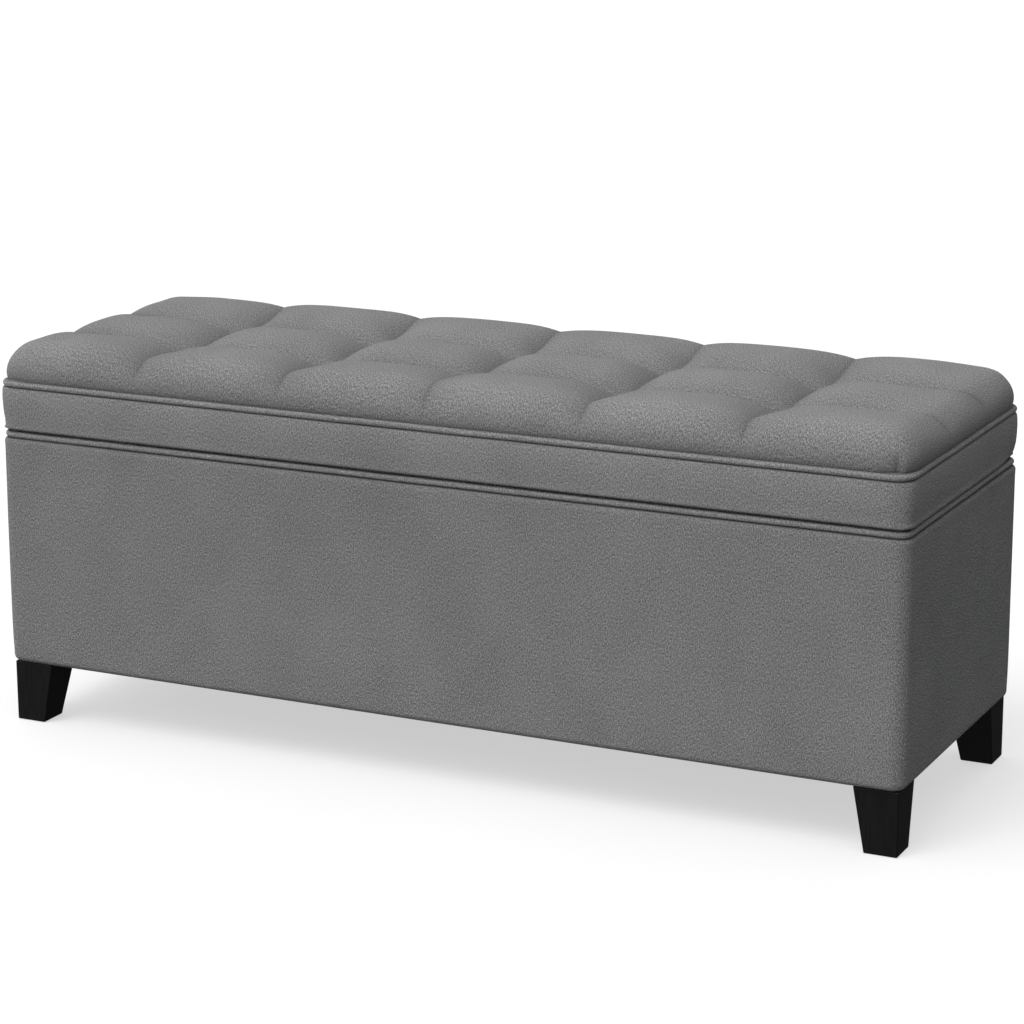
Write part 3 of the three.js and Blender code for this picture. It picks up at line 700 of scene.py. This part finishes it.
def band():
    z0, z1 = BAND[0][2], BAND[1][2]
    T = 0.0095
    ring = Ring(BX, BY, 0.022, 0.011, 9)
    prof = [(-T, z1 - 0.0003), (-0.0058, z1 + 0.0001), (-0.0030, z1 - 0.0004), (-0.0016, z1 - 0.0014)]
    prof += [(-0.0008, z1 - 0.0035), (-0.0003, z1 - 0.008), (0.0, z1 - 0.016), (-0.0002, z1 - 0.026), (-0.0009, z1 - 0.036)]
    prof += [(-0.0019, z0 + 0.0125), (-0.0028, z0 + 0.0080), (-0.0042, z0 + 0.0044), (-0.0062, z0 + 0.0019), (-0.0084, z0 + 0.0006)]
    prof += [(-T - 0.0006, z0 + 0.0002), (-T - 0.0008, z0 + 0.004), (-T, z0 + 0.02)]
    # painted shade: the band's cloth is darkened at its top under the piping, and at its lower turn and underside over
    # the gap above the box
    painted_shade = [1, 0.8, 0.5, 0.15] + [0] * 7 + [0, 0.1, 0.45] + [1, 1, 1]

    def wob(p, prof):
        n = np.array([[noise.noise(Vector((x / 0.11 + 4, y / 0.11, z / 0.05))) for (_, z) in prof] for x, y in p])
        m = np.array([[noise.noise(Vector((x / 0.035 + 8, y / 0.035, z / 0.025))) for (_, z) in prof] for x, y in p])
        outer = np.array([1.0 if o > -0.006 else 0.15 for o, _ in prof])[None, :]
        # the lower edge hangs close over the box's piping, but keeps clear of it along the hinge side
        low = np.clip((z0 + 0.03 - prof[None, :, 1]) / 0.03, 0, 1)
        t = np.clip((0.19 - p[:, 1, None]) / 0.07, 0, 1)
        t = t * t * (3 - 2 * t)
        # and it is fuller there
        fuller = np.interp(-prof[:, 0], [0.0019, 0.0028, 0.0042, 0.0062, 0.0084, 0.0095], [0, 0.0008, 0.0018, 0.0030, 0.0030, 0])[None, :] * (prof[None, :, 1] < z0 + 0.013) * t
        ends = -0.0018 * (np.abs(p[:, 0, None]) > BX - 0.021)
        return (0.0007 * n + 0.0002 * m - 0.0010 + ends) * outer + fuller, -0.0013 * low * t

    return sweep("boxing_band", ring, prof, wob, painted_shade)


bd = band()
paint(bd, BAND_LINEN_PAINTED_LIGHT)
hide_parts("lid_band")
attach(bd, "lid")


# ----------------------------------------------------------------- body cover

def body():
    ring = Ring(HX, HY, 0.018, 0.013, 10)
    top = Z_COVER
    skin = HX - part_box("right_end_panel")[1][0]          # cover and wadding, face of the board outwards
    over = RIM_Z + 0.0002                                # the cloth lies over the rim of the boards
    prof = [(-skin + 0.0004, top + 0.004), (-skin + 0.0005, top - 0.001), (-0.0080, top - 0.0002)]
    prof += arc_pts(-0.0052, top - 0.0054, 0.0052, 80, 0, 5)
    prof += [(-0.0003, top - 0.012), (-0.0002, top - 0.03), (-0.0001, top - 0.06)]
    prof += [(0.0, z) for z in np.linspace(top - 0.10, Z_BOT + 0.05, 6)]
    prof += [(-0.0002, Z_BOT + 0.028), (-0.0006, Z_BOT + 0.014)]
    prof += arc_pts(-0.0085, Z_BOT + 0.0080, 0.0078, 0, -85, 6)
    prof += [(-skin + 0.0004, Z_BOT), (-skin + 0.0002, Z_BOT + 0.02), (-skin + 0.0002, top - 0.02)]
    inner = HX - IN_X
    prof += [(-skin + 0.0002, RIM_Z - 0.001), (-skin + 0.0003, RIM_Z + 0.00005), (-inner + 0.0002, RIM_Z + 0.00005), (-inner - 0.0001, RIM_Z - 0.0012)]
    prof += [(-inner - 0.00028, RIM_Z - 0.0012), (-inner - 0.0001, RIM_Z + 0.0001), (-inner + 0.0004, over), (-skin - 0.002, over), (-skin + 0.0003, over - 0.0001)]
    # painted shade: the cover is darkened on its hidden inner side below the rim and along its top edge under the
    # piping
    painted_shade = []
    for o, z in prof:
        painted_shade.append(1.0 if o < -0.0085 and z < RIM_Z - 0.002 else 0.85 if z > top - 0.0012 and o > -0.0085 else 0.2 if z > top - 0.003 and o > -0.006 else 0.0)

    def wob(p, prof):
        n = np.array([[noise.noise(Vector((x / 0.16 + 1, y / 0.16, z / 0.12))) for (_, z) in prof] for x, y in p])
        outer = np.array([1.0 if o > -0.0055 else 0.0 for o, _ in prof])[None, :]
        return (0.0006 * n - 0.0005) * outer, 0 * n

    return sweep("padded_body_cover", ring, prof, wob, painted_shade)


bc = body()
paint(bc, FABRIC)
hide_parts("body_cover")
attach(bc, "base")


# ------------------------------------------------------- lining and dust cover

def damp(x, y, z):
    """0 where the stays' brackets lie on the lining, 1 away from them."""
    out = np.ones_like(x)
    for side in ("left", "right"):
        lo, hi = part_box("stay_base_bracket_" + side)
        g = np.maximum.reduce([lo[0] - x, x - hi[0], lo[1] - y, y - hi[1], lo[2] - z, z - hi[2]])
        out = np.minimum(out, np.clip((g - 0.004) / 0.02, 0, 1))
    return out


def tray():
    """The box's lining: one cloth floor with walls that step in around the corner posts."""
    lo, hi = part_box("storage_lining")
    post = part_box("corner_post_front_right")
    px, py = post[0][0] - 0.0003, -post[1][1] - 0.0003
    x, y, z0, z1 = hi[0], hi[1], lo[2], hi[2]
    gx, gy = spans([-x, -px, px, x], 0.0125), spans([-y, -py, py, y], 0.0125)
    nx, ny = len(gx), len(gy)
    ids, v, uv = {}, [], []

    def pt(i, j):
        if (i, j) not in ids:
            ids[(i, j)] = len(v)
            v.append((gx[i], gy[j], z0))
            uv.append((gx[i], gy[j]))
        return ids[(i, j)]

    faces = []
    for i in range(nx - 1):
        for j in range(ny - 1):
            if abs(gx[i] + gx[i + 1]) / 2 > px and abs(gy[j] + gy[j + 1]) / 2 > py:
                continue
            faces.append((pt(i, j), pt(i + 1, j), pt(i + 1, j + 1), pt(i, j + 1)))
    edges = {}
    for f in faces:
        for a, b in zip(f, f[1:] + f[:1]):
            edges[(a, b)] = True
    nxt = {a: b for a, b in edges if (b, a) not in edges}
    loop = [next(iter(nxt))]
    while nxt[loop[0 - 1]] != loop[0]:
        loop.append(nxt[loop[-1]])
    walked = [0.0]
    for a, b in zip(loop, loop[1:]):
        walked.append(walked[-1] + math.dist(v[a], v[b]))
    below = loop
    levels = np.concatenate([[0.004], np.linspace(0.016, z1 - z0 - 0.022, 20), [z1 - z0 - 0.0165, z1 - z0 - 0.0150, z1 - z0 - 0.006, z1 - z0]])
    for h in levels:
        row = []
        for k, a in enumerate(loop):
            row.append(len(v))
            v.append((v[a][0], v[a][1], z0 + h))
            uv.append((walked[k] + 2.0, h))
        m = len(loop)
        faces += [(below[(k + 1) % m], below[k], row[k], row[(k + 1) % m]) for k in range(m)]
        below = row
    v = np.array(v)
    n = point_normals(v, faces)
    w = soft_noise(v[:, 0], v[:, 1], v[:, 2], 0.11, 6.0) * 0.5 + soft_noise(v[:, 0], v[:, 1], v[:, 2] * 0.35, 0.035, 12.0) * 0.5
    wall = v[:, 2] > z0 + 0.002
    hem = np.exp(-((v[:, 2] - (z1 - 0.0155)) / 0.0015) ** 2)
    amount = np.where(wall, 0.0008, 0.0012) * np.clip(w + 0.45, 0, 1.2) * damp(v[:, 0], v[:, 1], v[:, 2]) * np.clip((z1 - v[:, 2]) / 0.03, 0.0, 1)
    edge = np.minimum(np.abs(np.abs(v[:, 0]) - x), np.abs(np.abs(v[:, 1]) - y))
    amount = np.where(wall, amount, amount * np.clip(edge / 0.03, 0, 1))
    v = v + n * amount[:, None]
    ob = thick_sheet("storage_lining_cloth", v, faces, np.array(uv), 0.0011)
    # painted shade: the lining is darkened along the fold of its hem near the top of the walls
    shade_attr(ob, np.concatenate([0.6 * hem * wall, 0.6 * hem * wall]))
    flat = 4 * x * y - 4 * (x - px) * (y - py) + (walked[-1] + math.dist(v[loop[0]], v[loop[-1]])) * (z1 - z0)
    return ob, 2 * x + 2 * (z1 - z0), 2 * y + 2 * (z1 - z0), flat


lining, lw_, ll_, la_ = tray()
paint(lining, LINING)
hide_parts("storage_lining")
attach(lining, "base")


def flat_cloth(name, cad, back_up, t, shape):
    """A cloth stapled flat over a board. back_up: not used; its back always faces upwards, as on an underside."""
    lo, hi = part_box(cad)
    gx, gy = spans([lo[0], lo[0] + 0.018, hi[0] - 0.018, hi[0]], 0.012), spans([lo[1], lo[1] + 0.018, hi[1] - 0.018, hi[1]], 0.012)
    X, Y = np.meshgrid(gx, gy, indexing="ij")
    Z = shape(X, Y, lo, hi)
    v = np.stack([X, Y, Z], -1).reshape(-1, 3)
    f = [q[::-1] for q in grid_faces(*X.shape)]
    ob = thick_sheet(name, v, f, np.stack([X, Y], -1).reshape(-1, 2), t)
    d = np.minimum.reduce([X - lo[0], hi[0] - X, Y - lo[1], hi[1] - Y]).ravel()
    # painted shade: the cloth is darkened along a line 14 mm in from its edges, where it is stapled down
    c = 0.5 * np.exp(-((d - 0.014) / 0.0035) ** 2)
    shade_attr(ob, np.concatenate([c, c]))
    return ob


def lid_under(X, Y, lo, hi):
    w = soft_noise(X, Y, 0 * X, 0.06, 5.0) + 0.5 * soft_noise(X * 0.4, Y, 0 * X, 0.02, 8.0)
    return hi[2] - 0.0001 + 0.00012 * w


def sagging(X, Y, lo, hi):
    a = np.clip(1 - (X / hi[0]) ** 2, 0, 1) * np.clip(1 - (Y / hi[1]) ** 2, 0, 1)
    corner = np.clip((np.hypot(np.abs(X) - hi[0], np.abs(Y) - hi[1]) - 0.09) / 0.05, 0, 1)
    w = soft_noise(X, Y, 0 * X, 0.09, 15.0) + 0.5 * soft_noise(X, Y * 0.5, 0 * X, 0.03, 18.0)
    return hi[2] - 0.0002 - (0.003 * a + 0.0007 * np.clip(w + 0.4, 0, 2) * a ** 0.3) * corner


under = flat_cloth("lid_underside_cloth", "lid_lining", True, 0.0007, lid_under)
paint(under, LINING)
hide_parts("lid_lining")
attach(under, "lid")

dust = flat_cloth("dust_cover_cloth", "dust_cover", True, 0.0005, sagging)
paint(dust, DUST)
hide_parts("dust_cover")
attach(dust, "base")


# ----------------------------------------------------------------------- feet

def foot(name, cad):
    """Block foot with its edges eased, shaped from the corners of its CAD node."""
    c = coords(nodes[cad])
    z0, z1 = c[:, 2].min(), c[:, 2].max()
    floor_gap = 0.0006                          # the foot's underside stops 0.6 mm above the floor, almost flush
    lowc, topc = c[c[:, 2] < z0 + 1e-4], c[c[:, 2] > z1 - 1e-4]

    def rect(q):
        return q[:, 0].min(), q[:, 0].max(), q[:, 1].min(), q[:, 1].max()

    import bmesh
    bm = bmesh.new()
    vs = []
    for (x0, x1, y0, y1), z in ((rect(lowc), floor_gap), (rect(topc), z1)):
        vs += [bm.verts.new((x, y, z)) for x, y in ((x0, y0), (x1, y0), (x1, y1), (x0, y1))]
    for f in ((3, 2, 1, 0), (4, 5, 6, 7), (0, 1, 5, 4), (1, 2, 6, 5), (2, 3, 7, 6), (3, 0, 4, 7)):
        bm.faces.new([vs[i] for i in f])
    bmesh.ops.bevel(bm, geom=list(bm.edges), offset=0.0016, segments=3, profile=0.6, affect="EDGES")
    me = bpy.data.meshes.new(name)
    bm.to_mesh(me)
    bm.free()
    ob = bpy.data.objects.new(name, me)
    scene.collection.objects.link(ob)
    me.polygons.foreach_set("use_smooth", [True] * len(me.polygons))
    mod = ob.modifiers.new("wn", "WEIGHTED_NORMAL")
    mod.keep_sharp = False
    return ob


for corner in ("front_left", "front_right", "rear_left", "rear_right"):
    f = foot("foot_" + corner, "leg_" + corner)
    paint(f, BLACK_WOOD)
    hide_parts("leg_" + corner)
    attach(f, "base")


# ---------------------------------------------------------------- the studio

SKY = [(0.0, 0.08), (0.47, 0.21), (0.56, 0.55), (0.8, 0.90), (1.0, 0.97)]
SIDE_GAIN, FRONT_GAIN = -0.56, -0.50

world = bpy.data.worlds.new("studio")
scene.world = world
world.use_nodes = True
wt = world.node_tree
bg = wt.nodes["Background"]
tc = node(wt, "ShaderNodeTexCoord")
sx = node(wt, "ShaderNodeSeparateXYZ")
wt.links.new(tc.outputs["Generated"], sx.inputs[0])


def world_ramp(stops):
    r = node(wt, "ShaderNodeValToRGB")
    wt.links.new(mathn(wt, "MULTIPLY_ADD", sx.outputs[2], 0.5, 0.5), r.inputs[0])
    e = r.color_ramp.elements
    e[0].position, e[0].color = stops[0][0], (stops[0][1],) * 3 + (1,)
    e[1].position, e[1].color = stops[-1][0], (stops[-1][1],) * 3 + (1,)
    for p, c in stops[1:-1]:
        e.new(p).color = (c, c, c, 1)
    return r.outputs[0]


# a soft white room: bright overhead, dimmer at the sides, brighter to the left and front
lr = mathn(wt, "MULTIPLY_ADD", sx.outputs[0], SIDE_GAIN, 1.0)
fb = mathn(wt, "MULTIPLY_ADD", sx.outputs[1], FRONT_GAIN, 1.0)
gain = mathn(wt, "MULTIPLY", lr, fb)
wt.links.new(world_ramp(SKY), bg.inputs[0])
wt.links.new(gain, bg.inputs[1])
# the backdrop itself is plain white
back = node(wt, "ShaderNodeBackground")
back.inputs[0].default_value = (1, 1, 1, 1)
lp = node(wt, "ShaderNodeLightPath")
mx = node(wt, "ShaderNodeMixShader")
wt.links.new(lp.outputs["Is Camera Ray"], mx.inputs[0])
wt.links.new(bg.outputs[0], mx.inputs[1])
wt.links.new(back.outputs[0], mx.inputs[2])
wt.links.new(mx.outputs[0], wt.nodes["World Output"].inputs[0])


def floor():
    k, half = 60, 30.0
    g = np.linspace(-half, half, k + 1)
    v = [(x, y, 0.0) for x in g for y in g]
    f = [(i * (k + 1) + j, (i + 1) * (k + 1) + j, (i + 1) * (k + 1) + j + 1, i * (k + 1) + j + 1) for i in range(k) for j in range(k)]
    return new_mesh("studio_floor", v, f, False)


fl = floor()
m, nt, b = new_material("studio_floor")
f_ = object_noise(nt, 1.5, 2.0)
nt.links.new(ramp_of(nt, f_, [(0.3, (0.42, 0.42, 0.42)), (0.7, (0.44, 0.44, 0.44))]), b.inputs["Base Color"])
b.inputs["Emission Color"].default_value = (1, 1, 1, 1)
b.inputs["Emission Strength"].default_value = 0.56
b.inputs["Roughness"].default_value = 0.9
b.inputs["Specular IOR Level"].default_value = 0.1
paint(fl, m)
fl.visible_diffuse = False
fl.visible_glossy = False


def sun(name, toward, strength, spread):
    li = bpy.data.lights.new(name, "SUN")
    li.energy = strength
    li.angle = math.radians(spread)
    o = bpy.data.objects.new(name, li)
    scene.collection.objects.link(o)
    o.location = Vector(toward) * 4
    o.rotation_euler = Vector(toward).to_track_quat("Z", "Y").to_euler()
    return o


sun("key", (-0.23, -0.62, 1.0), 1.1, 30)


# --------------------------------------------------------------------- camera

def camera():
    az, el, roll, dist = 0.44934, 0.25326, -0.00315, 3.91494
    fpx, tx, tz = 3151.84, 0.0151, 0.03591
    back = Vector((math.sin(az) * math.cos(el), -math.cos(az) * math.cos(el), math.sin(el)))
    fwd = -back
    right = fwd.cross(Vector((0, 0, 1))).normalized()
    up = right.cross(fwd)
    r = right * math.cos(roll) + up * math.sin(roll)
    u = -right * math.sin(roll) + up * math.cos(roll)
    loc = Vector((0, 0, 0.256)) + back * dist + r * tx + u * tz
    cd = bpy.data.cameras.new("camera")
    cam = bpy.data.objects.new("camera", cd)
    scene.collection.objects.link(cam)
    mat = Matrix((r, u, back)).transposed().to_4x4()
    mat.translation = loc
    cam.matrix_world = mat
    cd.sensor_width = 36.0
    cd.lens = fpx / 1024 * 36.0
    cd.clip_start, cd.clip_end = 0.05, 200
    cd.dof.use_dof = False
    scene.camera = cam


camera()
scene.view_settings.view_transform = "Standard"
scene.view_settings.look = "None"
scene.view_settings.exposure = 0.0
scene.view_settings.gamma = 1.0

bpy.context.view_layer.update()
